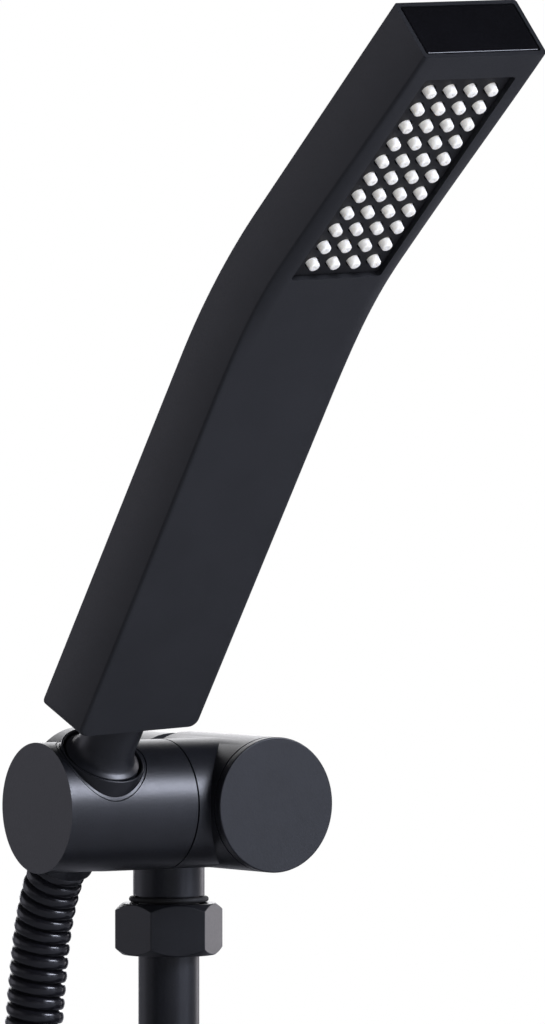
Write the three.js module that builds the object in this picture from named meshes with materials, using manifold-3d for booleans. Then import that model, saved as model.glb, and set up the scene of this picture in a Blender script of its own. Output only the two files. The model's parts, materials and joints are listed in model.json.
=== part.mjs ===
// Stick hand shower in a tilting wall holder, with its hose. Millimetres, +Z up.
// The origin is on the wall, at the middle of the bracket's arm; the room is towards -Y.
import * as THREE from 'three';
import { mergeVertices } from 'three/addons/utils/BufferGeometryUtils.js';
import Module from 'manifold-3d';

// bracket
const bodyRadius = 16.4;
const armRadius = 15.75;
const bodyFrontY = -88.7;
const bodyBackY = -49.3;
const axisY = -69;              // the holder's tilt axis runs along X at this Y, Z = 0
const grooveRadius = 12.5;
const grooveBackY = -42.7;
const sleeveFrontY = -30;
const capThickness = 2.4;
const gap = 0.3;                // between pieces that touch
const seamGap = 0.45;           // between the holder and its collar, at the rim

// riser under the bracket
const riserY = -41;
const neckRadius = 8.8;
const neckBottomZ = -24.2;
const nutTopZ = -26.1;
const nutBottomZ = -38.8;
const nutAcrossCorners = 27;
const nutTurn = -22.1;          // degrees
const pipeRadius = 7.5;
const pipeWall = 0.8;
const pipeBottomZ = -60;

// holder
const seamX = -19.5;
const holderEndX = -55.9;
const boreX = -43.2;
const boreRadius = 11.5;
const lean = 36.2;              // degrees, from upright towards the room
const insertTop = 15.9;
const insertBottom = -11.5;
const insertTopInner = 9.9;
const insertBottomInner = 8.9;
const insertRimOuter = 10.5;

// handset, along its own axis from the tilt axis
const handsetTwist = 4.5;       // degrees
const handleBottom = 29.6;
const bendAt = 151.5;
const headLength = 93.3;
const bend = 13.6;              // degrees, towards the room
const width = 35.2;
const depth = 16.6;
const bottomCorner = 2;
const bottomSlant = 3;          // the back reaches lower than the front
const edge = 0.8;
const endCapInset = 1.1;
const endCapDeep = 2;
const plateLength = 69.2;
const plateWidth = 26.2;
const plateFromEnd = 7.6;       // from the head's end to the recess
const recess = 1.8;
const plateThick = 1.6;
const matThick = 1.3;
const pocketDepth = 11;
const channelRadius = 5;

// nozzles
const pitch = 5.95;
const nozzleRows = 11;
const nozzleColumns = 4;
const nozzleRadius = 1.4;
const nozzleProud = 2.1;        // above the plate

// hose
const hoseDiameter = 14.2;
const hoseExit = -17;           // along the bore axis
const exitBend = 57;
const hangAngle = 10;           // degrees from upright, where the hose leaves the bend
const hangZ = -60;
const hangY = -45.8;
const coilRadius = 71;
const coilZ = -142;
const turnPitch = 14.6;
const turns = 3;
const coilY = hangY - turns * turnPitch;

const colours = {
  enamel: { color: 0x2d2f36, roughness: 0.42, metalness: 0.3 },
  plastic: { color: 0x17171a, roughness: 0.5, metalness: 0 },
  plate: { color: 0x3a3c42, roughness: 0.5, metalness: 0.1 },
  silicone: { color: 0xe9e7df, roughness: 0.6, metalness: 0 },
  rubber: { color: 0x111112, roughness: 0.8, metalness: 0 },
  brass: { color: 0xb08d4a, roughness: 0.35, metalness: 1 },
  steel: { color: 0x9a9ca0, roughness: 0.3, metalness: 1 },
};

const wasm = await Module();
wasm.setup();
const degrees = (a) => a * Math.PI / 180;

function solid(geometry) {
  const bare = geometry.clone();
  bare.deleteAttribute('normal');
  if (bare.attributes.uv) bare.deleteAttribute('uv');
  const welded = mergeVertices(bare, 1e-4);
  const vertProperties = new Float32Array(welded.attributes.position.array);
  const triVerts = new Uint32Array(welded.index.array);
  return new wasm.Manifold(new wasm.Mesh({ numProp: 3, vertProperties, triVerts }));
}

function geometryOf(manifold) {
  const mesh = manifold.getMesh();
  const geometry = new THREE.BufferGeometry();
  geometry.setAttribute('position', new THREE.BufferAttribute(mesh.vertProperties, 3));
  geometry.setIndex(new THREE.BufferAttribute(mesh.triVerts, 1));
  geometry.computeVertexNormals();
  return geometry;
}

const cut = (body, ...tools) => tools.reduce((left, tool) => left.subtract(solid(tool)), solid(body));
const join = (...bodies) => bodies.map(solid).reduce((all, body) => all.add(body));

// a turned piece from [radius, height] points; its axis is Y until it is stood up or laid along X
function turned(points, segments = 26) {
  const profile = points.map(([r, h]) => new THREE.Vector2(r, h));
  if (THREE.ShapeUtils.area(profile) < 0) profile.reverse();
  return new THREE.LatheGeometry([...profile, profile[0]], segments);
}
const upright = (geometry) => geometry.rotateX(Math.PI / 2);
const alongX = (geometry) => geometry.rotateZ(-Math.PI / 2);
const rod = (radius, from, to, segments = 26) =>
  turned([[0, from], [radius, from], [radius, to], [0, to]], segments);
const ring = (outer, inner, from, to, segments = 26) =>
  turned([[inner, from], [outer, from], [outer, to], [inner, to]], segments);
const block = (x0, x1, y0, y1, z0, z1) =>
  new THREE.BoxGeometry(x1 - x0, y1 - y0, z1 - z0)
    .translate((x0 + x1) / 2, (y0 + y1) / 2, (z0 + z1) / 2);

// an extruded outline, from z = from to z = to
function extruded(outline, from, to, curveSegments = 6) {
  return new THREE.ExtrudeGeometry(outline, { depth: to - from, bevelEnabled: false, curveSegments })
    .translate(0, 0, from);
}

function hexagon(acrossCorners) {
  const outline = new THREE.Shape();
  for (let corner = 0; corner < 6; corner++) {
    const a = degrees(60 * corner);
    const [x, y] = [Math.cos(a) * acrossCorners / 2, Math.sin(a) * acrossCorners / 2];
    corner ? outline.lineTo(x, y) : outline.moveTo(x, y);
  }
  outline.closePath();
  return outline;
}

// a hexagon nut with its corners turned off, standing on Z
function hexNut(acrossCorners, bore, from, to) {
  const chamfer = acrossCorners * 0.05;
  const turnedOff = upright(turned([
    [0, from], [acrossCorners / 2 - chamfer, from], [acrossCorners / 2, from + chamfer * 0.6],
    [acrossCorners / 2, to - chamfer * 0.6], [acrossCorners / 2 - chamfer, to], [0, to],
  ], 28));
  return solid(extruded(hexagon(acrossCorners), from, to))
    .intersect(solid(turnedOff))
    .subtract(solid(upright(rod(bore, from - 1, to + 1, 32))));
}

function roundedRectangle(w, h, r) {
  const [x, y] = [w / 2, h / 2];
  const outline = new THREE.Shape();
  outline.moveTo(-x + r, -y).lineTo(x - r, -y).absarc(x - r, -y + r, r, -Math.PI / 2, 0);
  outline.lineTo(x, y - r).absarc(x - r, y - r, r, 0, Math.PI / 2);
  outline.lineTo(-x + r, y).absarc(-x + r, y - r, r, Math.PI / 2, Math.PI);
  outline.lineTo(-x, -y + r).absarc(-x + r, -y + r, r, Math.PI, Math.PI * 1.5);
  return outline;
}

const shower = new THREE.Group();
const alongBore = new THREE.Group();       // Z along the bore, from the tilt axis
alongBore.position.set(boreX, axisY, 0);
alongBore.rotation.x = degrees(lean);
const handset = new THREE.Group();
handset.rotation.z = degrees(handsetTwist);
alongBore.add(handset);
shower.add(alongBore);

function piece(name, shape, finish, parent = shower) {
  const geometry = shape.isBufferGeometry ? shape : geometryOf(shape);
  const mesh = new THREE.Mesh(geometry, new THREE.MeshStandardMaterial(colours[finish]));
  mesh.name = name;
  parent.add(mesh);
  return mesh;
}

// ---- bracket: one casting from the groove to the front, with the riser neck and the holder's collar

function teeBody() {
  const front = rod(bodyRadius, bodyFrontY + capThickness + gap, bodyBackY, 32);
  const core = rod(grooveRadius, bodyBackY - 1, sleeveFrontY + 1);
  const arm = rod(armRadius, grooveBackY, sleeveFrontY, 32);
  const spigot = rod(grooveRadius - gap, sleeveFrontY, -6);
  const collar = alongX(rod(armRadius, seamX, 0, 32)).translate(0, axisY, 0);
  const neck = upright(rod(neckRadius, neckBottomZ, 0, 32)).translate(0, riserY, 0);
  return join(front, core, arm, spigot, collar, neck)
    .subtract(solid(rod(12.6, bodyFrontY, bodyFrontY + capThickness + 7)))
    .subtract(solid(upright(rod(6.3, neckBottomZ - 1, 4, 18)).translate(0, riserY, 0)))
    .subtract(solid(upright(rod(pipeRadius + gap, neckBottomZ - 1, -14, 18)).translate(0, riserY, 0)))
    .subtract(solid(alongX(rod(2.5, seamX - 1, -7, 12)).translate(0, axisY, 0)))
    .subtract(solid(rod(6.3, -20, 0, 18)))
    .subtract(solid(upright(rod(2.5, -20, 0, 12)).translate(0, -12, 0)));
}

function frontCap() {
  const faceBack = bodyFrontY + capThickness;
  return turned([
    [0, bodyFrontY], [bodyRadius - 0.35, bodyFrontY], [bodyRadius, bodyFrontY + 0.35],
    [bodyRadius, faceBack], [12.2, faceBack], [12.2, faceBack + 1.4], [11, faceBack + 1.4],
    [11, faceBack + 3.6], [12.2, faceBack + 3.6], [12.2, faceBack + 5.4], [0, faceBack + 5.4],
  ], 32);
}

piece('tee_body', teeBody(), 'enamel');
piece('front_cap', frontCap(), 'enamel');
piece('cap_oring', ring(12.3, 11.3, bodyFrontY + capThickness + 1.8, bodyFrontY + capThickness + 3.2), 'rubber');
piece('wall_sleeve', ring(armRadius, grooveRadius + 0.1, sleeveFrontY + gap, 0, 32), 'enamel');
piece('sleeve_oring', ring(grooveRadius - gap - 0.3, 10.4, -5.7, -3.9), 'rubber');

function wallBracket() {
  const plate = rod(10, -3.5, 0);
  const boss = rod(6, -19, -3, 18);
  return join(plate, boss)
    .subtract(solid(rod(2.2, -25, 1, 12).translate(-7.9, 0, 0)))
    .subtract(solid(rod(2.2, -25, 1, 12).translate(7.9, 0, 0)))
    .subtract(solid(upright(rod(2, -7, -3, 12)).translate(0, -12, 0)));
}
piece('wall_bracket', wallBracket(), 'steel');
piece('grub_screw', upright(rod(1.7, -11.8, -3.4, 12)).translate(0, -12, 0), 'steel');

// ---- riser: washer, hexagon union nut, olive and pipe

const riserAt = (geometry) => geometry.translate(0, riserY, 0);
piece('riser_washer', riserAt(upright(ring(9.8, pipeRadius + gap, nutTopZ + gap, neckBottomZ - gap))), 'rubber');
const unionNut = hexNut(nutAcrossCorners, pipeRadius + gap, nutBottomZ, nutTopZ)
  .subtract(solid(upright(rod(9.6, nutTopZ - 7, nutTopZ + 1, 32))));
piece('union_nut', geometryOf(unionNut).rotateZ(degrees(nutTurn)).translate(0, riserY, 0), 'enamel');
piece('riser_olive', riserAt(upright(turned([
  [pipeRadius + gap, -32.6], [8.3, -32.6], [9, -30], [8.3, -27.4], [pipeRadius + gap, -27.4],
], 32))), 'brass');
piece('riser_pipe', riserAt(upright(ring(pipeRadius, pipeRadius - pipeWall, pipeBottomZ, -14.3, 32))), 'enamel');

// ---- holder: a barrel on the collar, clamped by its pivot screw, with a liner for the hose nut

function holderBarrel() {
  const outside = alongX(turned([
    [0, holderEndX], [armRadius - 0.4, holderEndX], [armRadius, holderEndX + 0.4],
    [armRadius, seamX - seamGap], [0, seamX - seamGap],
  ], 28)).translate(0, axisY, 0);
  const bore = upright(rod(boreRadius, -40, 40, 32));
  bore.rotateX(degrees(lean)).translate(boreX, axisY, 0);
  return cut(outside, bore,
    alongX(rod(13.8, seamX - 1.3, seamX)).translate(0, axisY, 0),
    alongX(rod(4.6, boreX, -26.5, 18)).translate(0, axisY, 0),
    alongX(rod(2.8, boreX, seamX + 1, 12)).translate(0, axisY, 0));
}
piece('holder_barrel', holderBarrel(), 'enamel');
piece('friction_washer', alongX(ring(13.5, 3, seamX - 1, seamX - gap)).translate(0, axisY, 0), 'plastic');
piece('wave_washer', alongX(ring(4.2, 2.8, -27.6, -26.8, 18)).translate(0, axisY, 0), 'steel');
piece('pivot_screw', alongX(turned([
  [0, -30.4], [4.1, -30.4], [4.1, -27.9], [2.2, -27.9], [2.2, -8], [0, -8],
], 18)).translate(0, axisY, 0), 'steel');

// a sleeve in the bore, and a thin rim that stands out of it
const liner = turned([
  [insertBottomInner + 0.15, insertBottom], [boreRadius - gap, insertBottom],
  [boreRadius - gap, 9.5], [insertRimOuter, 9.5], [insertRimOuter, insertTop], [insertTopInner, insertTop],
], 32);
piece('holder_liner', upright(liner), 'plastic', alongBore);

// ---- hose top: a conical nut on the hose tail, and its washer

const nutTop = 14.9;
const nutBottom = -19.6;
piece('hose_cone_nut', upright(turned([
  [7.45, nutBottom], [8, nutBottom], [8.5, -13],
  [insertTopInner - 0.5, nutTop], [8.6, nutTop], [8.6, 4], [5.2, 4], [5.2, 1], [7.45, -2],
], 26)), 'enamel', alongBore);
piece('hose_tail', upright(turned([
  [3.2, -15.4], [4.6, -15.4], [4.6, 4.4], [6.6, 4.4], [6.6, 6], [3.2, 6],
], 18)), 'brass', alongBore);
piece('hose_washer', upright(ring(8, 4, 6.3, 8.2, 18)), 'rubber', alongBore);
piece('hose_top_ferrule', upright(ring(7.2, 5.1, -15.6, -3.2, 18)), 'steel', alongBore);

// ---- handset

// side view of the bent stick, in depth (x) and length (y), grown outwards by a margin
function sideOutline(half, top, bottom) {
  const [s, c] = [Math.sin(degrees(bend)), Math.cos(degrees(bend))];
  const mitre = half * Math.tan(degrees(bend / 2));
  const head = (out, along) => [out * c - along * s, out * s + along * c + bendAt];
  const points = [
    [half, bottom - bottomSlant], [half, bendAt + mitre], head(half, top), head(-half, top),
    [-half, bendAt - mitre], [-half, bottom],
  ];
  return points;
}

// the bent stick: rounded where it bends
function bentStick(across, half, top, bottom) {
  const points = sideOutline(half, top, bottom);
  const outline = new THREE.Shape();
  const soft = 22;
  const along = (from, to, reach) => {
    const d = new THREE.Vector2(to[0] - from[0], to[1] - from[1]).setLength(reach);
    return [from[0] + d.x, from[1] + d.y];
  };
  outline.moveTo(...points[0]);
  outline.lineTo(...along(points[1], points[0], soft));
  outline.quadraticCurveTo(...points[1], ...along(points[1], points[2], soft));
  outline.lineTo(...points[2]).lineTo(...points[3]);
  outline.lineTo(...along(points[4], points[3], soft));
  outline.quadraticCurveTo(...points[4], ...along(points[4], points[5], soft));
  outline.lineTo(...points[5]).closePath();
  return new THREE.ExtrudeGeometry(outline, {
    depth: across - 2 * edge, bevelEnabled: true, bevelThickness: edge, bevelSize: edge,
    bevelOffset: -edge, bevelSegments: 2, curveSegments: 5,
  })
    .translate(0, 0, edge - across / 2)
    .rotateX(Math.PI / 2).rotateZ(Math.PI / 2);
}

// front view of the handle's rounded bottom, cut through the whole depth
function frontOutline() {
  const [x, r, top] = [width / 2 + 1, bottomCorner, bendAt + headLength + 30];
  const inner = width / 2;
  const outline = new THREE.Shape();
  outline.moveTo(-inner + r, handleBottom).lineTo(inner - r, handleBottom);
  outline.absarc(inner - r, handleBottom + r, r, -Math.PI / 2, 0);
  outline.lineTo(x, handleBottom + 2 * r).lineTo(x, top).lineTo(-x, top);
  outline.lineTo(-x, handleBottom + 2 * r).lineTo(-inner, handleBottom + r);
  outline.absarc(-inner + r, handleBottom + r, r, Math.PI, Math.PI * 1.5);
  const slant = new THREE.Matrix4().set(1, 0, 0, 0, 0, 1, 0, 0, 0, -bottomSlant / depth, 1, -bottomSlant / 2, 0, 0, 0, 1);
  return extruded(outline, -60, 60, 8).rotateX(Math.PI / 2).applyMatrix4(slant);
}

// places a shape drawn on the spray face: x across, y along the head, z out of the face
const faceMiddle = headLength - plateFromEnd - plateLength / 2;
function onFace(geometry) {
  return geometry
    .rotateX(Math.PI / 2).translate(0, -depth / 2, faceMiddle)
    .rotateX(degrees(bend)).translate(0, 0, bendAt);
}

// a block across the head, an inset in from its four sides
const headBlock = (inset, from, to) =>
  extruded(roundedRectangle(width - 2 * inset, depth - 2 * inset, 0.6), from, to, 2)
    .rotateX(degrees(bend)).translate(0, 0, bendAt);

const faceBlock = (w, h, r, from, to) => onFace(extruded(roundedRectangle(w, h, r), from, to, 4));

function handsetShell() {
  const outside = solid(bentStick(width, depth / 2, headLength, handleBottom))
    .intersect(solid(frontOutline()));
  const pocket = faceBlock(plateWidth, plateLength, 1.5, -pocketDepth, 5);
  const channel = upright(rod(channelRadius, handleBottom + 5, bendAt, 18));
  const upperChannel = upright(rod(channelRadius, -3, headLength - plateFromEnd - plateLength + 3, 18))
    .rotateX(degrees(bend)).translate(0, 0, bendAt);
  const socket = upright(rod(6.6, handleBottom - 5, handleBottom + 13, 18));
  const mouth = upright(rod(7.2, handleBottom - 5, handleBottom + 0.5, 26));
  const endRecess = headBlock(endCapInset, headLength - endCapDeep, headLength + 1);
  return [pocket, channel, upperChannel, socket, mouth, endRecess]
    .reduce((body, hole) => body.subtract(solid(hole)), outside);
}
piece('handset_shell', handsetShell(), 'enamel', handset);
piece('head_end_cap', headBlock(endCapInset + gap, headLength - endCapDeep + gap, headLength), 'enamel', handset);

function nozzlePlaces() {
  const places = [];
  for (let row = 0; row < nozzleRows; row++) {
    for (let column = 0; column < nozzleColumns; column++) {
      places.push([(column - (nozzleColumns - 1) / 2) * pitch, (row - (nozzleRows - 1) / 2) * pitch]);
    }
  }
  return places;
}

function sprayPlate() {
  const outline = roundedRectangle(plateWidth - 2 * gap, plateLength - 2 * gap, 1.2);
  for (const [x, y] of nozzlePlaces()) {
    outline.holes.push(new THREE.Path().absarc(x, y, nozzleRadius + 2 * gap, 0, 2 * Math.PI, true));
  }
  return onFace(extruded(outline, -recess - plateThick, -recess, 3));
}
piece('spray_plate', sprayPlate(), 'plate', handset);

const matTop = -recess - plateThick - gap;
function nozzleMat() {
  const reach = -recess + nozzleProud;
  const nozzle = [[0, matTop - 0.3], [nozzleRadius, matTop - 0.3], [nozzleRadius * 0.85, reach], [0, reach]];
  const nozzles = nozzlePlaces().map(([x, y]) => upright(turned(nozzle, 6)).translate(x, y, 0));
  const slab = extruded(roundedRectangle(plateWidth - 3, plateLength - 3, 1), matTop - matThick, matTop, 3);
  return geometryOf(join(slab, ...nozzles));
}
piece('nozzle_mat', onFace(nozzleMat()), 'silicone', handset);

const chamberTop = matTop - matThick - gap;
const sealOutline = roundedRectangle(plateWidth - 1, plateLength - 1, 1);
sealOutline.holes.push(new THREE.Path(roundedRectangle(plateWidth - 5, plateLength - 5, 1).getPoints(4).reverse()));
piece('plate_seal', onFace(extruded(sealOutline, chamberTop - 1.6, chamberTop, 4)), 'rubber', handset);

function distributor() {
  const outline = roundedRectangle(plateWidth - 1, plateLength - 1, 1);
  const slot = plateLength / 8;
  for (let row = -3; row <= 3; row++) {
    for (const side of [-1, 1]) {
      outline.holes.push(new THREE.Path().absarc(side * 6, row * slot, 1.8, 0, 2 * Math.PI, true));
    }
  }
  return onFace(extruded(outline, chamberTop - 3.6, chamberTop - 1.9, 3));
}
piece('distributor', distributor(), 'plastic', handset);

// the threaded inlet: a stem up into the handle, and a skirt that flares down into the holder
piece('handset_inlet', upright(turned([
  [4.2, 9.6], [7.2, 9.6], [7.2, 14.9 + gap], [9.3, 14.9 + gap], [9.3, 15.8], [7.4, 17.6], [6.9, 20], [6.9, handleBottom + 0.2],
  [6.3, handleBottom + 0.2], [6.3, handleBottom + 12.4], [4.2, handleBottom + 12.4],
], 28)), 'enamel', handset);
piece('flow_limiter', upright(ring(3.9, 1.4, 11, 13.2, 20)), 'plastic', handset);

// ---- hose: out of the nut, round to hanging, then down into its stored coil

const exitY = axisY - hoseExit * Math.sin(degrees(lean));
const exitZ = hoseExit * Math.cos(degrees(lean));

// the bend's own points, worked out from its radius; it turns from the bore's lean to the hanging angle
function exitArc(steps) {
  const points = [];
  for (let step = 0; step <= steps; step++) {
    const a = degrees(lean + (hangAngle - lean) * step / steps);
    points.push([
      boreX,
      exitY + exitBend * (Math.cos(a) - Math.cos(degrees(lean))),
      exitZ - exitBend * (Math.sin(degrees(lean)) - Math.sin(a)),
    ]);
  }
  return points;
}
const hang = [
  [boreX, -48.3, -47], [boreX, -46.7, hangZ], [boreX, hangY, -75], [boreX, hangY, coilZ + 47.5],
];

function hoseTube() {
  const points = [...exitArc(6), ...hang].map((p) => new THREE.Vector3(...p));
  const section = new THREE.Shape();
  section.absarc(0, 0, hoseDiameter / 2, 0, 2 * Math.PI);
  return new THREE.ExtrudeGeometry(section, {
    extrudePath: new THREE.CatmullRomCurve3(points), steps: 16, curveSegments: 10,
  });
}
piece('hose_tube', hoseTube(), 'enamel');

// the coil hangs in a plane along the wall; the hose comes into it, and leaves it, straight down
const coilX = boreX + coilRadius;
const strand = (y, from, to) =>
  upright(rod(hoseDiameter / 2, from, to, 12)).translate(boreX, y, 0);
const coilRing = ring(coilRadius + hoseDiameter / 2, coilRadius - hoseDiameter / 2,
  coilY - hoseDiameter / 2, hangY + hoseDiameter / 2, 32).translate(coilX, 0, coilZ);
piece('hose_coil', join(coilRing, strand(hangY, coilZ, coilZ + 47.2), strand(coilY, coilZ - 47.2, coilZ)), 'enamel');

function coilTie() {
  const [inner, wall, long] = [hoseDiameter / 2 + 0.5, 1.2, 9];
  const [low, high] = [coilZ + coilRadius - inner, coilZ + coilRadius + inner];
  const [front, back] = [coilY - inner, hangY + inner];
  return cut(
    block(coilX - long / 2, coilX + long / 2, front - wall, back + wall, low - wall - 0.6, high + wall),
    block(coilX - long, coilX + long, front, back, low - 0.6, high),
  );
}
piece('coil_tie', coilTie(), 'rubber');

const endTop = coilZ - 47.5;
const endAt = (geometry) => geometry.translate(boreX, coilY, 0);
piece('hose_end_ferrule', endAt(upright(turned([
  [0, endTop], [7.6, endTop], [7.6, endTop - 12], [4.6, endTop - 12], [4.6, endTop - 20], [6.4, endTop - 20],
  [6.4, endTop - 21.5], [3.2, endTop - 21.5], [3.2, endTop - 5], [0, endTop - 5],
], 32))), 'steel');
const endNut = hexNut(25.4, 5, endTop - 33, endTop - 15.5)
  .subtract(solid(upright(rod(10, endTop - 34, endTop - 19.6, 32))));
piece('hose_end_nut', geometryOf(endNut).translate(boreX, coilY, 0), 'enamel');
piece('hose_end_washer', endAt(upright(ring(9, 4, endTop - 23.8, endTop - 21.9, 18))), 'rubber');

export default shower;
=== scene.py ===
import json
import math
import bmesh
import bpy
from mathutils import Matrix, Vector

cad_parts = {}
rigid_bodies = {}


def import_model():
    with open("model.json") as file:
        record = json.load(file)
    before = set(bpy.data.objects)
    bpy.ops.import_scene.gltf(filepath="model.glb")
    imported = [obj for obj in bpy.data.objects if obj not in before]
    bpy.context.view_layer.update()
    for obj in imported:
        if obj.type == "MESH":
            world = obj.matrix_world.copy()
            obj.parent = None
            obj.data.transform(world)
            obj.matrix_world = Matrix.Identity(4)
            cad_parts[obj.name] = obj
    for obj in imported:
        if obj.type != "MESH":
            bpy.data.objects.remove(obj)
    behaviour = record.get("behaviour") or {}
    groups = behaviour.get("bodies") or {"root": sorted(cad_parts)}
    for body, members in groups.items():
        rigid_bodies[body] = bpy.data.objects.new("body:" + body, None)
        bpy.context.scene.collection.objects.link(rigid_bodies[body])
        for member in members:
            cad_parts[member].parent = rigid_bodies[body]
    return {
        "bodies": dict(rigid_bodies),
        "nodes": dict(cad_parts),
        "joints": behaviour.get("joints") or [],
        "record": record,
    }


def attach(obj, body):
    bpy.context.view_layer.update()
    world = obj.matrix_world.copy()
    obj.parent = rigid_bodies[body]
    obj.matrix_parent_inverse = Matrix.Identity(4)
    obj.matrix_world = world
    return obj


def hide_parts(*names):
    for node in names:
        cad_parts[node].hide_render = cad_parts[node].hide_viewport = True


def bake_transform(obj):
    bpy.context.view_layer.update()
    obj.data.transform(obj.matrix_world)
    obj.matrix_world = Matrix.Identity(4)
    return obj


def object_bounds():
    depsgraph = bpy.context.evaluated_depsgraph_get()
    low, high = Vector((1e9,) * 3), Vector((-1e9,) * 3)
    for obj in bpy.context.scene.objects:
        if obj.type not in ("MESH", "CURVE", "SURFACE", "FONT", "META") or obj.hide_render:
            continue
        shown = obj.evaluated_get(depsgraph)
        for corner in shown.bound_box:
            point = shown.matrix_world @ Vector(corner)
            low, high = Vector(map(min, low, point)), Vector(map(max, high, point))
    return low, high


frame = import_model()
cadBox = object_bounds()
mm = 0.001
joints = {j["name"]: j for j in frame["joints"]}
tiltAt = Vector(joints["holder_tilt"]["pos_m"])
boreAt = Vector(joints["handset_turn"]["pos_m"])
boreAxis = Vector(joints["handset_turn"]["axis"]).normalized()
lean = math.atan2(-boreAxis.y, boreAxis.z)    # 36 degrees from upright, towards the room
twist = math.radians(4.5)                     # the handset's turn in its socket
bend = math.radians(13.6)                     # head against handle
bendAt = 151.5                                # mm up the handset from the tilt axis
faceMiddle = 51.1                             # mm from the bend to the middle of the spray plate
halfDepth = 8.3

boreFrame = Matrix.Translation(boreAt) @ Matrix.Rotation(lean, 4, "X")
handsetFrame = boreFrame @ Matrix.Rotation(twist, 4, "Z")
headFrame = handsetFrame @ Matrix.Translation((0, 0, bendAt * mm)) @ Matrix.Rotation(bend, 4, "X")
faceFrame = (headFrame @ Matrix.Translation((0, -halfDepth * mm, faceMiddle * mm))
             @ Matrix.Rotation(math.pi / 2, 4, "X"))                              # Z out of the spray face
tiltFrame = Matrix.Translation(tiltAt) @ Matrix.Rotation(math.pi / 2, 4, "Y")     # Z along X
armFrame = Matrix.Rotation(-math.pi / 2, 4, "X")                                  # Z along Y
riserFrame = Matrix.Translation((0, -41 * mm, 0))


# camera: long lens, slightly above the holder, 33 degrees to its left

camera = {"lens": 312.1, "distance": 2.1618, "azimuth": -33.44, "elevation": 3.0,
          "aimRight": 9.99, "aimUp": 70.5}      # mm from the tilt axis, across and up the view

azimuth, elevation = math.radians(camera["azimuth"]), math.radians(camera["elevation"])
looking = Vector((-math.sin(azimuth) * math.cos(elevation), math.cos(azimuth) * math.cos(elevation),
                  -math.sin(elevation)))
right = Vector((math.cos(azimuth), math.sin(azimuth), 0))
up = right.cross(looking)
cameraObject = bpy.data.objects.new("camera", bpy.data.cameras.new("camera"))
bpy.context.scene.collection.objects.link(cameraObject)
cameraObject.data.lens = camera["lens"]
cameraObject.data.sensor_width = 36
cameraObject.location = tiltAt - looking * camera["distance"]
aim = tiltAt + right * camera["aimRight"] * mm + up * camera["aimUp"] * mm
cameraObject.rotation_euler = (aim - cameraObject.location).to_track_quat("-Z", "Y").to_euler()
cameraObject.data.clip_start, cameraObject.data.clip_end = 0.1, 20
bpy.context.scene.camera = cameraObject
bpy.context.scene.view_settings.view_transform = "Standard"
print("camera placed")


# colours and nodes

def linear(hexColour):
    channels = [int(hexColour[i:i + 2], 16) / 255 for i in (1, 3, 5)]
    return tuple(c / 12.92 if c <= 0.04045 else ((c + 0.055) / 1.055) ** 2.4 for c in channels) + (1,)


def addNode(tree, kind, settings=None, links=None):
    node = tree.nodes.new(kind)
    for key, value in (settings or {}).items():
        if isinstance(key, int) or key in node.inputs:
            node.inputs[key].default_value = value
        else:
            setattr(node, key, value)
    for key, socket in (links or {}).items():
        tree.links.new(socket, node.inputs[key])
    return node


def surface(name, look):
    # two close tones in a cloudy grain, and the grain's own roughness and bump
    material = bpy.data.materials.new(name)
    material.use_nodes = True
    tree = material.node_tree
    tree.nodes.clear()
    place = addNode(tree, "ShaderNodeTexCoord").outputs["Object"]
    grain = addNode(tree, "ShaderNodeTexNoise", {"Scale": 1 / (look["grain"] * mm), "Detail": 3.0},
                    {"Vector": place})
    cloud = addNode(tree, "ShaderNodeTexNoise", {"Scale": 1 / (look["cloud"] * mm), "Detail": 2.0},
                    {"Vector": place})
    both = addNode(tree, "ShaderNodeMath", {"operation": "ADD"},
                   {0: grain.outputs["Fac"], 1: cloud.outputs["Fac"]})
    tone = addNode(tree, "ShaderNodeMapRange", {"From Min": 0.75, "From Max": 1.25},
                   {"Value": both.outputs[0]})
    ramp = addNode(tree, "ShaderNodeValToRGB", links={"Fac": tone.outputs[0]})
    ramp.color_ramp.elements[0].color = linear(look["dark"])
    ramp.color_ramp.elements[1].color = linear(look["light"])
    rough = addNode(tree, "ShaderNodeMapRange", {"From Min": 0.3, "From Max": 0.7, "To Min": look["rough"][0],
                                                 "To Max": look["rough"][1]}, {"Value": grain.outputs["Fac"]})
    bump = addNode(tree, "ShaderNodeBump", {"Strength": look["bump"], "Distance": look["grain"] * mm * 0.2},
                   {"Height": grain.outputs["Fac"]})
    fixed = {"Metallic": look.get("metal", 0.0), "IOR": look.get("ior", 1.5),
             "Subsurface Weight": look.get("inside", 0.0)}
    shader = addNode(tree, "ShaderNodeBsdfPrincipled", fixed,
                     {"Base Color": ramp.outputs["Color"], "Roughness": rough.outputs[0],
                      "Normal": bump.outputs[0]})
    if look.get("inside"):
        shader.inputs["Subsurface Radius"].default_value = (1.0, 0.9, 0.75)
        shader.inputs["Subsurface Scale"].default_value = 1.0 * mm
    addNode(tree, "ShaderNodeOutputMaterial", links={"Surface": shader.outputs[0]})
    return material


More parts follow.
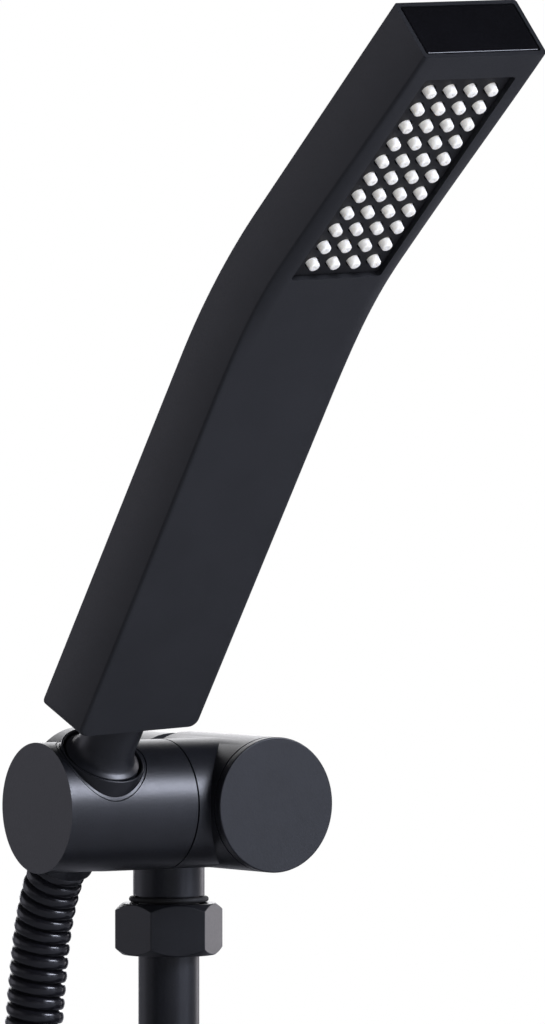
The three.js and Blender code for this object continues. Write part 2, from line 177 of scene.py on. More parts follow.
surfaces = {
    # polyester powder coat on brass castings: matt black with a cold cast, a soft sheen and a fine
    # orange peel
    "powderCoat": surface("powder_coat_black", {
        "dark": "#0c0d10", "light": "#131418", "grain": 0.5, "cloud": 9,
        "rough": (0.33, 0.4), "bump": 0.16}),
    # soft-touch lacquer on injection-moulded ABS: the same black, flatter
    "lacqueredAbs": surface("lacquered_abs_black", {
        "dark": "#0f1013", "light": "#151619", "grain": 0.45, "cloud": 14,
        "rough": (0.42, 0.5), "bump": 0.14}),
    # the same ABS from a polished tool, unlacquered: glossier, with its colour darkened as painted shade for the
    # end face reflecting the dark ceiling
    "glossyAbsPaintedDarker": surface("glossy_abs_black_painted_shade", {
        "dark": "#060608", "light": "#0a0a0d", "grain": 0.5, "cloud": 14,
        "rough": (0.16, 0.24), "bump": 0.04}),
    # glass-filled nylon: dull
    "nylon": surface("moulded_nylon_black", {
        "dark": "#0b0b0c", "light": "#141415", "grain": 0.4, "cloud": 6,
        "rough": (0.4, 0.55), "bump": 0.2}),
    # ABS with a spark-eroded texture
    "texturedAbs": surface("textured_abs_charcoal", {
        "dark": "#0e0e10", "light": "#151517", "grain": 0.4, "cloud": 7,
        "rough": (0.5, 0.62), "bump": 0.3, "ior": 1.36}),
    # liquid silicone rubber: milky, the light goes a little way in
    "silicone": surface("silicone_white", {
        "dark": "#dedcd6", "light": "#efede8", "grain": 0.6, "cloud": 3,
        "rough": (0.45, 0.55), "bump": 0.08, "ior": 1.41, "inside": 0.2}),
    # nitrile rubber: the dullest black
    "rubber": surface("nitrile_rubber", {
        "dark": "#0a0a0a", "light": "#141414", "grain": 0.5, "cloud": 5,
        "rough": (0.6, 0.75), "bump": 0.2}),
    # free-cutting brass, turned
    "brass": surface("turned_brass", {
        "dark": "#a8894a", "light": "#bd9d58", "grain": 0.4, "cloud": 3,
        "rough": (0.25, 0.35), "bump": 0.1, "metal": 1.0}),
    # stainless steel, turned
    "steel": surface("turned_stainless", {
        "dark": "#8d8f92", "light": "#a3a5a8", "grain": 0.4, "cloud": 3,
        "rough": (0.25, 0.38), "bump": 0.1, "metal": 1.0}),
    # wound steel strip under black lacquer: satin, with sharper lights than the powder coat
    "stripLacquer": surface("lacquered_wound_strip", {
        "dark": "#0c0c0f", "light": "#131317", "grain": 0.8, "cloud": 5,
        "rough": (0.2, 0.26), "bump": 0.015}),
}
print("surfaces made:", len(surfaces))


# shapes: profiles and outlines are in mm

def turned(profile, segments=96, place=Matrix()):
    # a profile of [radius, height] points spun round Z
    bm = bmesh.new()
    points = [bm.verts.new((r * mm, 0, h * mm)) for r, h in profile]
    ring = points + points[:1] if profile[0][0] > 0 or profile[-1][0] > 0 else points
    edges = [bm.edges.new(pair) for pair in zip(ring, ring[1:])]
    bmesh.ops.spin(bm, geom=points + edges, cent=(0, 0, 0), axis=(0, 0, 1), angle=2 * math.pi,
                   steps=segments, use_merge=True)
    bmesh.ops.remove_doubles(bm, verts=bm.verts, dist=1e-6)
    bmesh.ops.recalc_face_normals(bm, faces=bm.faces)
    bm.transform(place)
    return bm


def rod(radius, low, high):
    return [(0, low), (radius, low), (radius, high), (0, high)]


def arc(centre, radius, start, end, steps=5):
    return [(centre[0] + radius * math.cos(math.radians(start + (end - start) * i / steps)),
             centre[1] + radius * math.sin(math.radians(start + (end - start) * i / steps)))
            for i in range(steps + 1)]


def roundedOutline(w, h, r, steps=5):
    x, y = w / 2 - r, h / 2 - r
    return (arc((x, y), r, 0, 90, steps) + arc((-x, y), r, 90, 180, steps)
            + arc((-x, -y), r, 180, 270, steps) + arc((x, -y), r, 270, 360, steps))


def raised(outline, low, high, place=Matrix()):
    # a flat outline drawn up along Z
    bm = bmesh.new()
    face = bm.faces.new([bm.verts.new((x * mm, y * mm, low * mm)) for x, y in outline])
    grown = bmesh.ops.extrude_face_region(bm, geom=[face])
    top = [v for v in grown["geom"] if isinstance(v, bmesh.types.BMVert)]
    bmesh.ops.translate(bm, verts=top, vec=(0, 0, (high - low) * mm))
    bmesh.ops.recalc_face_normals(bm, faces=bm.faces)
    bm.transform(place)
    return bm


def rolled(rings):
    # a grid rolled into a tube through the rings, its seam merged and its two ends closed
    # each ring ends on the point that closes it, or on the next turn's point where the rows are a helix
    bm = bmesh.new()
    rows, around = len(rings), len(rings[0]) - 1
    bmesh.ops.create_grid(bm, x_segments=rows - 1, y_segments=around, size=1)
    for v in bm.verts:
        row = round((v.co.x + 1) / 2 * (rows - 1))
        step = round((v.co.y + 1) / 2 * around)
        v.co = rings[row][step]
    bmesh.ops.remove_doubles(bm, verts=bm.verts, dist=1e-7)
    bmesh.ops.holes_fill(bm, edges=[e for e in bm.edges if e.is_boundary], sides=0)
    bmesh.ops.recalc_face_normals(bm, faces=bm.faces)
    return bm


def merged(*parts):
    # several closed shapes in one mesh
    whole = bmesh.new()
    for part in parts:
        mesh = bpy.data.meshes.new("part")
        part.to_mesh(mesh)
        part.free()
        whole.from_mesh(mesh)
        bpy.data.meshes.remove(mesh)
    return whole


def held(bm):
    mesh = bpy.data.meshes.new("held")
    bm.to_mesh(mesh)
    bm.free()
    thing = bpy.data.objects.new("held", mesh)
    bpy.context.scene.collection.objects.link(thing)
    return thing


def carved(bm, cuts=(), joined=(), kept=()):
    # exact booleans: first what is joined on, then what is cut away, then what it is kept within
    body, tools = held(bm), []
    for operation, shapes in (("UNION", joined), ("DIFFERENCE", cuts), ("INTERSECT", kept)):
        for shape in shapes:
            tools.append(held(shape))
            modifier = body.modifiers.new("carve", "BOOLEAN")
            modifier.operation, modifier.solver, modifier.object = operation, "EXACT", tools[-1]
    bpy.context.view_layer.update()
    mesh = bpy.data.meshes.new_from_object(body.evaluated_get(bpy.context.evaluated_depsgraph_get()))
    result = bmesh.new()
    result.from_mesh(mesh)
    for thing in [body, *tools]:
        old = thing.data
        bpy.data.objects.remove(thing)
        bpy.data.meshes.remove(old)
    bpy.data.meshes.remove(mesh)
    bmesh.ops.remove_doubles(result, verts=result.verts, dist=5e-6)
    return result


def piece(name, bm, surfaceName, body, stands=(), soften=0.0, sharp=34, segments=3):
    # smooth faces with their sharp edges marked, and those edges rounded by soften, in mm
    limit = math.radians(sharp)
    for face in bm.faces:
        face.smooth = True
        face.material_index = 0
    for edge in bm.edges:
        edge.smooth = len(edge.link_faces) == 2 and edge.calc_face_angle(0) < limit
    mesh = bpy.data.meshes.new(name)
    bm.to_mesh(mesh)
    bm.free()
    made = bpy.data.objects.new(name, mesh)
    bpy.context.scene.collection.objects.link(made)
    mesh.materials.clear()
    mesh.materials.append(surfaces[surfaceName])
    if soften:
        modifier = made.modifiers.new("softened", "BEVEL")
        modifier.width, modifier.segments, modifier.profile = soften * mm, segments, 0.5
        modifier.limit_method, modifier.angle_limit = "ANGLE", limit
        modifier.harden_normals = True
        modifier.material = -1
    if body:
        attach(made, body)
    if stands:
        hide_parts(*stands)
    return made


# hose: out of the nut, round to hanging, down into its coil and its end nut

hose = {"radius": 7.1, "rib": 3.42, "crown": 0.5, "groove": 0.8, "flank": 0.72,
        "exit": -14.5, "exitBend": 57, "hangAngle": 10,
        "hang": [(-48.3, -47), (-46.7, -60), (-45.8, -75), (-45.8, -94.5)], "hangY": -45.8,
        "bendsTo": -62, "coilRadius": 71, "coilZ": -142, "turns": 3, "turnPitch": 14.6, "tail": 47.5,
        "sides": 22, "rows": (-1, -0.95, -0.86, -0.74, -0.4, 0, 0.4, 0.74, 0.86, 0.95), "step": 0.2}

boreX, axisY = boreAt.x / mm, boreAt.y / mm


def hoseLine():
    # the exit bend, the drop, the turns and the tail, as closely spaced points in mm
    exitY, exitZ = axisY - hose["exit"] * math.sin(lean), hose["exit"] * math.cos(lean)
    knots = []
    for step in range(7):
        a = lean + (math.radians(hose["hangAngle"]) - lean) * step / 6
        knots.append(Vector((boreX, exitY + hose["exitBend"] * (math.cos(a) - math.cos(lean)),
                             exitZ - hose["exitBend"] * (math.sin(lean) - math.sin(a)))))
    knots += [Vector((boreX, y, z)) for y, z in hose["hang"]]
    knots.append(Vector((boreX, hose["hangY"], hose["coilZ"])))
    line = []
    for i in range(len(knots) - 1):
        a, b, c, d = (knots[min(max(k, 0), len(knots) - 1)] for k in (i - 1, i, i + 1, i + 2))
        for step in range(40):
            t = step / 40
            line.append(0.5 * (2 * b + (c - a) * t + (2 * a - 5 * b + 4 * c - d) * t * t
                               + (3 * b - a - 3 * c + d) * t ** 3))
    for step in range(720 * hose["turns"]):
        turn = step / 720
        a = math.pi + 2 * math.pi * turn
        line.append(Vector((boreX + hose["coilRadius"] * (1 + math.cos(a)),
                            hose["hangY"] - hose["turnPitch"] * turn,
                            hose["coilZ"] + hose["coilRadius"] * math.sin(a))))
    endY = hose["hangY"] - hose["turnPitch"] * hose["turns"]
    line += [Vector((boreX, endY, hose["coilZ"] - hose["tail"] * step / 60)) for step in range(61)]
    return line


def walked(line):
    # the line at even steps: its points, and at each the two directions across it, carried along
    # without twisting
    step, points, gone = hose["step"], [line[0]], 0.0
    for a, b in zip(line, line[1:]):
        long = (b - a).length
        while gone + long >= len(points) * step:
            points.append(a.lerp(b, (len(points) * step - gone) / long))
        gone += long
    across, frames = Vector((1, 0, 0)), []
    for i in range(len(points)):
        along = (points[min(i + 1, len(points) - 1)] - points[max(i - 1, 0)]).normalized()
        across = (across - along * across.dot(along)).normalized()
        frames.append((across, along.cross(across)))
    return points, frames


def smoothly(value, low, high):
    t = min(max((value - low) / (high - low), 0), 1)
    return t * t * (3 - 2 * t)


hosePoints, hoseFrames = walked(hoseLine())
hoseLength = (len(hosePoints) - 1) * hose["step"]


def hoseRings():
    # the rows follow the strip's own helix, so that each groove runs along a row
    sides, rings = hose["sides"], []
    for rib in range(int(hoseLength / hose["rib"]) + 2):
        for phase in hose["rows"]:
            depth = hose["crown"] * phase * phase + hose["groove"] * smoothly(abs(phase), hose["flank"], 1)
            ring = []
            for side in range(sides + 1):
                at = (rib + (phase + 1) / 2 - side / sides) * hose["rib"]
                r = hose["radius"] - (depth if 0 < at < hoseLength else hose["groove"])
                at = min(max(at, 0), hoseLength) / hose["step"]
                i = min(int(at), len(hosePoints) - 2)
                centre = hosePoints[i].lerp(hosePoints[i + 1], at - i)
                a, (wide, deep) = 2 * math.pi * side / sides, hoseFrames[i]
                ring.append((centre + (wide * math.cos(a) + deep * math.sin(a)) * r) * mm)
            rings.append(ring)
    return rings


hosePiece = piece("ribbed_hose", rolled(hoseRings()), "stripLacquer", None,
                  ["hose_tube", "hose_coil"], sharp=80)
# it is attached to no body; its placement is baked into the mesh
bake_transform(hosePiece)
print("hose", round(hoseLength), "mm,", len(hosePiece.data.polygons), "faces")

endTop = hose["coilZ"] - hose["tail"]
endFrame = Matrix.Translation((boreAt.x, (hose["hangY"] - hose["turnPitch"] * hose["turns"]) * mm, 0))

# the ferrule crimped on the hose's end, with the collar that holds the nut
endFerrule = piece("end_ferrule", turned([
    (3.2, endTop - 5), (3.2, endTop - 21.5), (6.4, endTop - 21.5), (6.4, endTop - 20), (4.6, endTop - 20),
    (4.6, endTop - 12), *arc((6.9, endTop - 11.3), 0.7, 270, 360), (7.6, endTop - 4.4), (7.35, endTop - 4),
    (7.35, endTop - 3.2), (7.6, endTop - 2.8), (7.6, endTop), (0, endTop), (0, endTop - 5)], place=endFrame),
    "powderCoat", "bracket", ["hose_end_ferrule"], soften=0.2)


def hexNut(across, bores, low, high, chamfer, place):
    # a hexagon with its corners turned off, bored through
    corners = arc((0, 0), across / 2, 0, 300)
    inner, outer = across / 2 - chamfer[0], across / 2 + 0.4
    steep = chamfer[1] * (outer - inner) / chamfer[0]
    barrel = turned([(0, low), (inner, low), (outer, low + steep), (outer, high - steep), (inner, high),
                     (0, high)], 128)
    nut = carved(raised(corners, low, high), cuts=[turned(b, 96) for b in bores], kept=[barrel])
    nut.transform(place)
    return nut


swivel = {"acrossCorners": 25.4, "low": endTop - 33, "high": endTop - 15.5, "chamfer": (1.9, 1.5),
          "neckBore": 5, "thread": 10, "washer": (4, 9),
          "washerLow": endTop - 23.8, "washerHigh": endTop - 21.9}
endNut = piece("end_nut", hexNut(
    swivel["acrossCorners"], [rod(swivel["neckBore"], swivel["low"] - 1, swivel["high"] + 1.5),
                              rod(swivel["thread"], swivel["low"] - 1, endTop - 19.6)],
    swivel["low"], swivel["high"], swivel["chamfer"], endFrame),
    "powderCoat", "end_nut", ["hose_end_nut"], soften=0.22)
washerInner, washerOuter = swivel["washer"]
endWasher = piece("end_washer", turned([
    (washerInner, swivel["washerLow"]), (washerOuter, swivel["washerLow"]),
    (washerOuter, swivel["washerHigh"]), (washerInner, swivel["washerHigh"])], 64, endFrame),
    "rubber", "end_nut", ["hose_end_washer"], soften=0.25)

# the tie: a rubber strap round the turns, with a rounded section
tie = {"long": 9, "wall": 1.2, "clear": 0.5, "corner": 5.2}
tieMiddleY = hose["hangY"] - hose["turnPitch"] * hose["turns"] / 2
tieHigh = 2 * hose["radius"] + 2 * tie["clear"]
tieLong = hose["turnPitch"] * hose["turns"] + tieHigh
tieAt = Vector((boreX + hose["coilRadius"], tieMiddleY, hose["coilZ"] + hose["coilRadius"])) * mm
tieFrame = Matrix.Translation(tieAt) @ Matrix.Rotation(math.pi / 2, 4, "Y")
strap = carved(raised(roundedOutline(tieHigh + 2 * tie["wall"], tieLong + 2 * tie["wall"],
                                     tie["corner"] + tie["wall"], 8), -tie["long"] / 2, tie["long"] / 2),
               cuts=[raised(roundedOutline(tieHigh, tieLong, tie["corner"], 8), -tie["long"], tie["long"])])
strap.transform(tieFrame)
hoseTie = piece("hose_tie", strap, "rubber", "bracket", ["coil_tie"], soften=0.35)


# bracket: one casting from the groove to the front, with the holder's collar and the riser's neck

bracket = {"front": 16.4, "arm": 15.75, "groove": 12.5, "frontY": -88.7, "backY": -49.3, "grooveBackY": -42.7,
           "sleeveY": -30, "cap": 2.4, "gap": 0.3, "seamX": -19.5, "neck": 8.8, "neckBottom": -24.2,
           "spigot": 12.2, "sleeveBore": 12.6, "capSeat": 9.4, "waterway": 6.3, "pipeBore": 7.8, "screw": 2.5}


def teeBody():
    def along(frame, radius, low, high, segments):
        return turned(rod(radius, low, high), segments, frame)

    capBack = bracket["frontY"] + bracket["cap"] + bracket["gap"]
    front = along(armFrame, bracket["front"], capBack, bracket["backY"], 180)
    core = along(armFrame, bracket["groove"], bracket["backY"] - 3, bracket["sleeveY"] + 1, 128)
    arm = along(armFrame, bracket["arm"], bracket["grooveBackY"], bracket["sleeveY"], 180)
    spigot = along(armFrame, bracket["spigot"], bracket["sleeveY"] - 1, -6, 96)
    collar = along(tiltFrame, bracket["arm"], bracket["seamX"], 0, 180)
    neck = along(riserFrame, bracket["neck"], bracket["neckBottom"], 0, 128)
    seatEnd = bracket["frontY"] + bracket["capSeat"]
    cuts = [along(armFrame, bracket["sleeveBore"], bracket["frontY"], seatEnd, 96),
            along(riserFrame, bracket["waterway"], -26, 4, 64),
            along(riserFrame, bracket["pipeBore"], -26, -14, 64),
            along(tiltFrame, bracket["screw"], bracket["seamX"] - 1, -7, 32),
            along(armFrame, bracket["waterway"], -20, 0, 64),
            along(Matrix.Translation((0, -12 * mm, 0)), bracket["screw"], -20, 0, 32)]
    return carved(front, joined=[core, arm, spigot, collar, neck], cuts=cuts)


piece("tee_casting", teeBody(), "powderCoat", "bracket", ["tee_body"], soften=0.35)

capBack = bracket["frontY"] + bracket["cap"]
plug, ringGroove = bracket["spigot"], 11
piece("front_disc", turned([
    (0, bracket["frontY"]), (bracket["front"], bracket["frontY"]), (bracket["front"], capBack),
    (plug, capBack),
    (plug, capBack + 1.4), (ringGroove, capBack + 1.4), (ringGroove, capBack + 3.6), (plug, capBack + 3.6),
    (plug, capBack + 5.4), (0, capBack + 5.4)], 180, armFrame),
    "powderCoat", "bracket", ["front_cap"], soften=0.35)

sleeveY = bracket["sleeveY"] + bracket["gap"]
piece("arm_sleeve", turned([
    (bracket["sleeveBore"], sleeveY), (bracket["arm"], sleeveY), (bracket["arm"], 0),
    (bracket["sleeveBore"], 0)], 180, armFrame),
    "powderCoat", "bracket", ["wall_sleeve"], soften=0.35)
print("bracket made")

# riser: a rubber ring, the union nut and the pipe
riser = {"nutTop": -26.1, "nutBottom": -38.8, "acrossCorners": 27, "turn": -22.1, "chamfer": (2.05, 1.7),
         "pipe": 7.5, "wall": 0.8, "pipeTop": -14.3, "pipeBottom": -60, "clear": 7.8, "thread": 9.6,
         "ring": 7.9, "ringTop": -24.5, "ringBottom": -25.8, "ringRound": 0.55}

ringOut = riser["ring"] + 1.35
piece("riser_ring", turned([
    (riser["ring"], riser["ringBottom"]), *arc((ringOut, -25.25), riser["ringRound"], 270, 360, 4),
    *arc((ringOut, -25.05), riser["ringRound"], 0, 90, 4), (riser["ring"], riser["ringTop"])], 96, riserFrame),
    "rubber", "bracket", ["riser_washer"])
piece("union_hexagon", hexNut(
    riser["acrossCorners"], [rod(riser["clear"], -45, -20), rod(riser["thread"], riser["nutTop"] - 7, -20)],
    riser["nutBottom"], riser["nutTop"], riser["chamfer"],
    riserFrame @ Matrix.Rotation(math.radians(riser["turn"]), 4, "Z")),
    "powderCoat", "bracket", ["union_nut"], soften=0.22)
pipeInner = riser["pipe"] - riser["wall"]
piece("riser_tube", turned([
    (pipeInner, riser["pipeBottom"]), (riser["pipe"], riser["pipeBottom"]), (riser["pipe"], riser["pipeTop"]),
    (pipeInner, riser["pipeTop"])], 128, riserFrame),
    "powderCoat", "bracket", ["riser_pipe"], soften=0.2)
print("riser made")


# holder: a barrel on the collar, bored across for the hose nut, with a fine line turned round the bore

holder = {"radius": 15.75, "endX": -55.9, "seamX": -19.95, "bore": 11.5, "fit": 0.25, "flush": 0.1,
          "linerTop": 15.9, "linerBottom": -16.2, "topInner": 9.9, "bottomInner": 8.9,
          "rim": 10.5, "rimStep": 0.18, "rimFrom": 8.6, "rimRound": 0.28,
          "washer": 13.8, "washerX": -20.8, "screwHead": 4.6, "screw": 2.8, "screwX": -26.5}


def holderBarrel():
    barrel = [(0, holder["endX"]), (holder["radius"], holder["endX"]), (holder["radius"], holder["seamX"]),
              (0, holder["seamX"])]
    cuts = [turned(rod(holder["bore"], -40, 40), 144, boreFrame),
            turned(rod(holder["washer"], holder["washerX"], -18), 96, tiltFrame),
            turned(rod(holder["screwHead"], boreX, holder["screwX"]), 48, tiltFrame),
            turned(rod(holder["screw"], boreX, -18), 48, tiltFrame)]
    return carved(turned(barrel, 180, tiltFrame), cuts=cuts)


piece("holder_casting", holderBarrel(), "powderCoat", "holder", ["holder_barrel"],
      soften=0.25, segments=2)


def boreLiner():
    # a sleeve trimmed flush with the barrel, whose thin rim stands up inside it
    outer, high, rounding = holder["bore"] - holder["fit"], holder["linerTop"], holder["rimRound"]
    step = holder["rim"] + holder["rimStep"]
    sleeve = turned([
        (holder["bottomInner"], holder["linerBottom"]), (outer, holder["linerBottom"]), (outer, high + 1),
        (step, high + 1), (step, holder["rimFrom"]), (holder["rim"], holder["rimFrom"]),
        *arc((holder["rim"] - rounding, high - rounding), rounding, 0, 90, 4),
        *arc((holder["topInner"] + rounding, high - rounding), rounding, 90, 180, 4)], 144, boreFrame)
    flush, inner, wide = rod(holder["radius"] - holder["flush"], -70, -10), holder["rim"] + 0.1, 16
    above = carved(turned([(inner, 5), (wide, 5), (wide, 30), (inner, 30)], 144, boreFrame),
                   cuts=[turned(flush, 180, tiltFrame)])
    below = carved(turned(rod(wide, -30, -6), 144, boreFrame), cuts=[turned(flush, 180, tiltFrame)])
    return carved(sleeve, cuts=[above, below])


piece("bore_liner", boreLiner(), "powderCoat", "holder", ["holder_liner"],
      soften=0.15, segments=2)
piece("cone_nut", turned([
    (7.45, -16.6), (8.1, -16.6), (8.5, -13), (9.4, 14.9), (8.6, 14.9), (8.6, 4), (5.2, 4), (5.2, 1), (7.45, -2)],
    128, boreFrame), "powderCoat", "hose_top", ["hose_cone_nut"], soften=0.18)
print("holder made")


# handset: a bent stick of rounded rectangular section, its front edges crowned beside the spray plate

handset = {"bottom": 29.6, "slant": 3, "slantHigh": 60, "width": 35.2, "edge": 0.8, "corner": 2.0,
           "softBend": 22, "head": 93.3, "flat": 13.1, "crown": 0.85, "capInset": 1.1, "capDeep": 2, "gap": 0.3,
           "plateWidth": 26.2, "plateLength": 69.2, "recess": 1.1,
           "waterway": 5, "neck": 6.6, "neckDeep": 13, "mouth": 7.2, "mouthDeep": 0.5}


def section(half, crown):
    # half of a section in [across, depth], from the front's middle to the back's middle
    r = handset["edge"]
    fall, reach = 0.0, half - r
    for _ in range(8):
        fall = math.atan(2 * crown / (reach - handset["flat"]))
        reach = half - r + r * math.sin(fall)
    points = [(0, -halfDepth), (handset["flat"] * 0.5, -halfDepth), (handset["flat"], -halfDepth)]
    for step in range(1, 6):
        u = step / 6
        points.append((handset["flat"] + u * (reach - handset["flat"]), -halfDepth + crown * u * u))
    middle = -halfDepth + crown + r * math.cos(fall)
    for step in range(5):
        a = fall + (math.pi / 2 - fall) * step / 4
        points.append((half - r + r * math.sin(a), middle - r * math.cos(a)))
    points += [(half, 0)]
    points += [(half - r + r * math.cos(a), halfDepth - r + r * math.sin(a))
               for a in (math.pi / 2 * step / 4 for step in range(5))]
    return points + [(handset["flat"] * 0.5, halfDepth), (0, halfDepth)]


def stickRings():
    stations = []                                   # [middle y, middle z, slope, half width, crown]
    half, r, reach = handset["width"] / 2, handset["corner"], handset["softBend"]
    for step in range(7):
        a = math.pi / 2 * step / 6
        stations.append((0, handset["bottom"] + r * (1 - math.cos(a)), 0, half - r * (1 - math.sin(a)), 0))
    for step in range(1, 9):
        z = handset["bottom"] + r + (bendAt - reach - handset["bottom"] - r) * step / 9
        stations.append((0, z, 0, half, 0))
    start, knee = Vector((0, bendAt - reach)), Vector((0, bendAt))
    end = knee + reach * Vector((-math.sin(bend), math.cos(bend)))
    for step in range(25):
        t = step / 24
        middle = (1 - t) ** 2 * start + 2 * t * (1 - t) * knee + t * t * end
        way = (1 - t) * (knee - start) + t * (end - knee)
        along = reach * (2 * t - 1)
        crown = handset["crown"] * smoothly(along, -20, 16)
        stations.append((middle.x, middle.y, math.atan2(-way.x, way.y), half, crown))
    for step in range(1, 15):
        along = reach + (handset["head"] - reach) * step / 14
        middle = knee + along * Vector((-math.sin(bend), math.cos(bend)))
        crown = handset["crown"] * (1 - 0.9 * smoothly(along, 30, 90))
        stations.append((middle.x, middle.y, bend, half, crown))
    rings = []
    for y, z, slope, halfWidth, crown in stations:
        right = section(halfWidth, crown)
        outline = right + [(-x, d) for x, d in right[-2:0:-1]]
        # the foot is cut on a slant, lower at the back
        fading = max(0, 1 - (z - handset["bottom"]) / handset["slantHigh"])
        drop = handset["slant"] * fading / (2 * halfDepth)
        rings.append([Vector((x, y + d * math.cos(slope),
                              z + d * math.sin(slope) - drop * (d + halfDepth))) * mm
                      for x, d in outline + outline[:1]])
    return rings


def headBlock(inset, low, high, corner=0.6):
    outline = roundedOutline(handset["width"] - 2 * inset, 2 * (halfDepth - inset), corner, 4)
    return raised(outline, low, high, headFrame)


def handsetShell():
    stick = rolled(stickRings())
    stick.transform(handsetFrame)
    plate = roundedOutline(handset["plateWidth"], handset["plateLength"], 1.0)
    foot, low = faceMiddle - handset["plateLength"] / 2, handset["bottom"]
    return carved(stick, cuts=[
        raised(plate, -11, 5, faceFrame),
        headBlock(handset["capInset"], handset["head"] - handset["capDeep"], handset["head"] + 2),
        turned(rod(handset["waterway"], low + 5, bendAt), 48, handsetFrame),
        turned(rod(handset["waterway"], -3, foot + 3), 48, headFrame),
        turned(rod(handset["neck"], low - 5, low + handset["neckDeep"]), 64, handsetFrame),
        turned(rod(handset["mouth"], low - 5, low + handset["mouthDeep"]), 64, handsetFrame)])


piece("stick_shell", handsetShell(), "lacqueredAbs", "handset", ["handset_shell"],
      soften=0.28, sharp=40, segments=2)
endInset = handset["capInset"] + handset["gap"]
capLow = handset["head"] - handset["capDeep"] + handset["gap"]
# the end cap's darker black is painted shade; its gloss is its own
piece("end_cap", headBlock(endInset, capLow, handset["head"], 0.5),
      "glossyAbsPaintedDarker", "handset", ["head_end_cap"], soften=0.3)
print("handset made")


# spray plate, and the silicone mat whose nozzles stand through it

spray = {"pitch": 5.95, "rows": 11, "columns": 4, "hole": 1.8, "thick": 2.3,
         "nozzle": 1.42, "flare": 0.12, "taper": 0.1, "tip": 0.42, "proud": 1.7, "jet": 0.2,
         "mat": 1.3, "matInset": 1.5}


def centred(count):
    return [(i - (count - 1) / 2) * spray["pitch"] for i in range(count)]


def atEach(profile, segments):
    # one turned shape at every nozzle's place
    return merged(*[turned(profile, segments, faceFrame @ Matrix.Translation((x * mm, y * mm, 0)))
                    for y in centred(spray["rows"]) for x in centred(spray["columns"])])


plateTop = -handset["recess"]
matTop = plateTop - spray["thick"] - handset["gap"]
plate = raised(roundedOutline(handset["plateWidth"] - 2 * handset["gap"],
                              handset["plateLength"] - 2 * handset["gap"], 0.8),
               plateTop - spray["thick"], plateTop, faceFrame)
piece("plate_moulding", carved(plate, cuts=[atEach(rod(spray["hole"], -8, 2), 32)]),
      "texturedAbs", "handset", ["spray_plate"], soften=0.15, segments=2)

nozzleTop, r, tip, jet = plateTop + spray["proud"], spray["nozzle"], spray["tip"], spray["jet"]
nozzle = [(0, matTop - 0.2), (r + spray["flare"], matTop - 0.2), (r, plateTop),
          *arc((r - spray["taper"] - tip, nozzleTop - tip), tip, 0, 78, 4),
          (0.5, nozzleTop), (jet, nozzleTop), (jet, nozzleTop - 0.8), (0, nozzleTop - 0.8)]
slab = raised(roundedOutline(handset["plateWidth"] - 2 * spray["matInset"],
                             handset["plateLength"] - 2 * spray["matInset"], 1),
              matTop - spray["mat"], matTop, faceFrame)
piece("silicone_mat", merged(slab, atEach(nozzle, 24)), "silicone", "handset",
      ["nozzle_mat"])

# the neck that stands in the hose nut: a flange, a swept fillet, and a tube up into the stick
neck = {"bore": 4.2, "bottom": 9.6, "body": 7.2, "flange": 9.3, "flangeLow": 15.2, "tube": 6.9, "socket": 6.3,
        "fillet": [(9.3, 15.55), (9.1, 15.8), (8.4, 16.1), (7.8, 16.7), (7.35, 17.6), (7.05, 18.7), (6.9, 20)]}
socketLow, socketHigh = handset["bottom"] + 0.2, handset["bottom"] + 12.4
piece("inlet_neck", turned([
    (neck["bore"], neck["bottom"]), (neck["body"], neck["bottom"]), (neck["body"], neck["flangeLow"]),
    (neck["flange"], neck["flangeLow"]), *neck["fillet"], (neck["tube"], socketLow),
    (neck["socket"], socketLow), (neck["socket"], socketHigh), (neck["bore"], socketHigh)],
    128, handsetFrame), "powderCoat", "handset", ["handset_inlet"], soften=0.15)
print("spray face made")


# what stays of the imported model, in its own finish

inside = {"cap_oring": "rubber", "sleeve_oring": "rubber", "wall_bracket": "steel", "grub_screw": "steel",
          "riser_olive": "brass", "friction_washer": "nylon", "wave_washer": "steel", "pivot_screw": "steel",
          "hose_tail": "brass", "hose_washer": "rubber", "hose_top_ferrule": "steel", "plate_seal": "rubber",
          "distributor": "nylon", "flow_limiter": "nylon"}
for nodeName, surfaceName in inside.items():
    node = bpy.data.objects[nodeName]
    for materialSlot in node.material_slots:
        materialSlot.material = surfaces[surfaceName]


# studio: pale floor, white all round to the camera, soft boxes for the lights in the black

floorSize = 1.15
bm = bmesh.new()
bmesh.ops.create_grid(bm, x_segments=8, y_segments=8, size=floorSize)
bmesh.ops.translate(bm, verts=bm.verts, vec=(0, 0, cadBox[0][2] - 1 * mm))
floorMesh = bpy.data.meshes.new("floor")
bm.to_mesh(floorMesh)
bm.free()
floor = bpy.data.objects.new("floor", floorMesh)
bpy.context.scene.collection.objects.link(floor)
floorMesh.materials.append(surface("painted_board", {
    "dark": "#a6a6aa", "light": "#aeaeb1", "grain": 3, "cloud": 60, "rough": (0.6, 0.7), "bump": 0.05}))

# white all round to the camera; to everything else a dark ceiling, a pale horizon and a grey ground
world = bpy.data.worlds.new("studio")
bpy.context.scene.world = world
world.use_nodes = True
tree = world.node_tree
tree.nodes.clear()
seen = addNode(tree, "ShaderNodeLightPath").outputs["Is Camera Ray"]
way = addNode(tree, "ShaderNodeTexCoord").outputs["Generated"]
height = addNode(tree, "ShaderNodeSeparateXYZ", links={"Vector": way}).outputs["Z"]
level = addNode(tree, "ShaderNodeMapRange", {"From Min": -1.0, "From Max": 1.0}, {"Value": height})
ramp = addNode(tree, "ShaderNodeValToRGB", links={"Fac": level.outputs[0]})
sky = [(0.0, 0.30), (0.45, 0.32), (0.52, 0.42), (0.62, 0.20), (0.75, 0.05), (1.0, 0.03)]
while len(ramp.color_ramp.elements) < len(sky):
    ramp.color_ramp.elements.new(0.5)
for element, (position, value) in zip(ramp.color_ramp.elements, sky):
    element.position = position
    element.color = (value * 0.86, value * 0.86, value, 1)
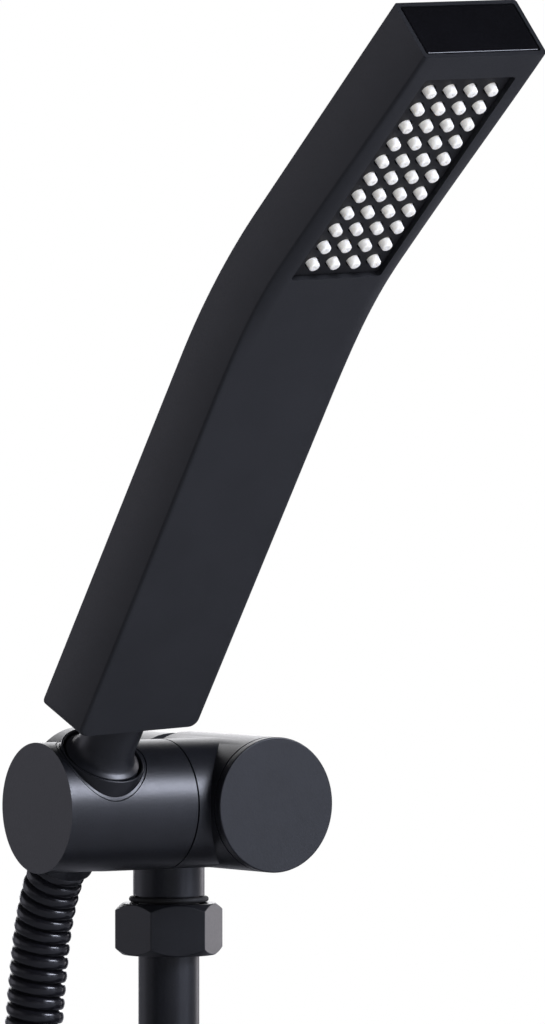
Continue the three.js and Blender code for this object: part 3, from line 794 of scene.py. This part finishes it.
facing = addNode(tree, "ShaderNodeVectorMath", {"operation": "DOT_PRODUCT", 1: (-0.63, -0.78, 0.0)}, {0: way})
# the side of the room that is left unlit
lit = addNode(tree, "ShaderNodeMapRange", {"From Min": 0.6, "From Max": 0.95, "To Min": 1.0, "To Max": 0.1},
              {"Value": facing.outputs["Value"]})
soft = addNode(tree, "ShaderNodeBackground",
               links={"Color": ramp.outputs["Color"], "Strength": lit.outputs[0]})
plain = addNode(tree, "ShaderNodeBackground", {"Color": (1, 1, 1, 1), "Strength": 1.0})
mix = addNode(tree, "ShaderNodeMixShader", links={"Fac": seen, 1: soft.outputs[0], 2: plain.outputs[0]})
addNode(tree, "ShaderNodeOutputWorld", links={"Surface": mix.outputs[0]})

# soft boxes: way from the object, distance in m, width and height in m, radiance, tint, and whether
# gloss shows them
softBoxes = {
    "key": ((0.50, -0.74, 0.44), 1.8, 0.95, 0.55, 22.0, (0.80, 0.84, 1.0), True),
    "frontStrip": ((0.24, -0.97, 0.04), 1.9, 0.2, 1.2, 2.6, (0.74, 0.8, 1.0), True),
    "front": ((0.62, -0.78, -0.03), 1.9, 0.5, 0.7, 1.4, (0.72, 0.8, 1.0), True),
    "side": ((0.95, 0.26, 0.06), 1.8, 0.7, 1.2, 1.9, (1.0, 0.96, 1.0), True),
    "back": ((0.42, 0.86, 0.20), 1.8, 1.2, 1.1, 3.0, (0.98, 0.98, 1.0), True),
    "backLeft": ((-0.60, 0.80, -0.02), 1.8, 0.9, 1.0, 0.5, (0.86, 0.86, 1.0), True),
    "nozzleFill": ((-0.35, -0.90, -0.09), 1.6, 1.0, 0.5, 11.0, (1.0, 1.0, 1.0), False),
}
for name, (way, distance, wide, high, radiance, tint, glossy) in softBoxes.items():
    light = bpy.data.lights.new(name, "AREA")
    light.shape, light.size, light.size_y = "RECTANGLE", wide, high
    light.energy = radiance * math.pi * wide * high     # watts for that radiance off the face
    light.color = tint
    box = bpy.data.objects.new(name, light)
    bpy.context.scene.collection.objects.link(box)
    direction = Vector(way).normalized()
    box.location = tiltAt + Vector((0, 0, 0.06)) + direction * distance
    box.rotation_euler = direction.to_track_quat("Z", "Y").to_euler()
    box.visible_camera = False
    box.visible_glossy = glossy
print("studio lit")
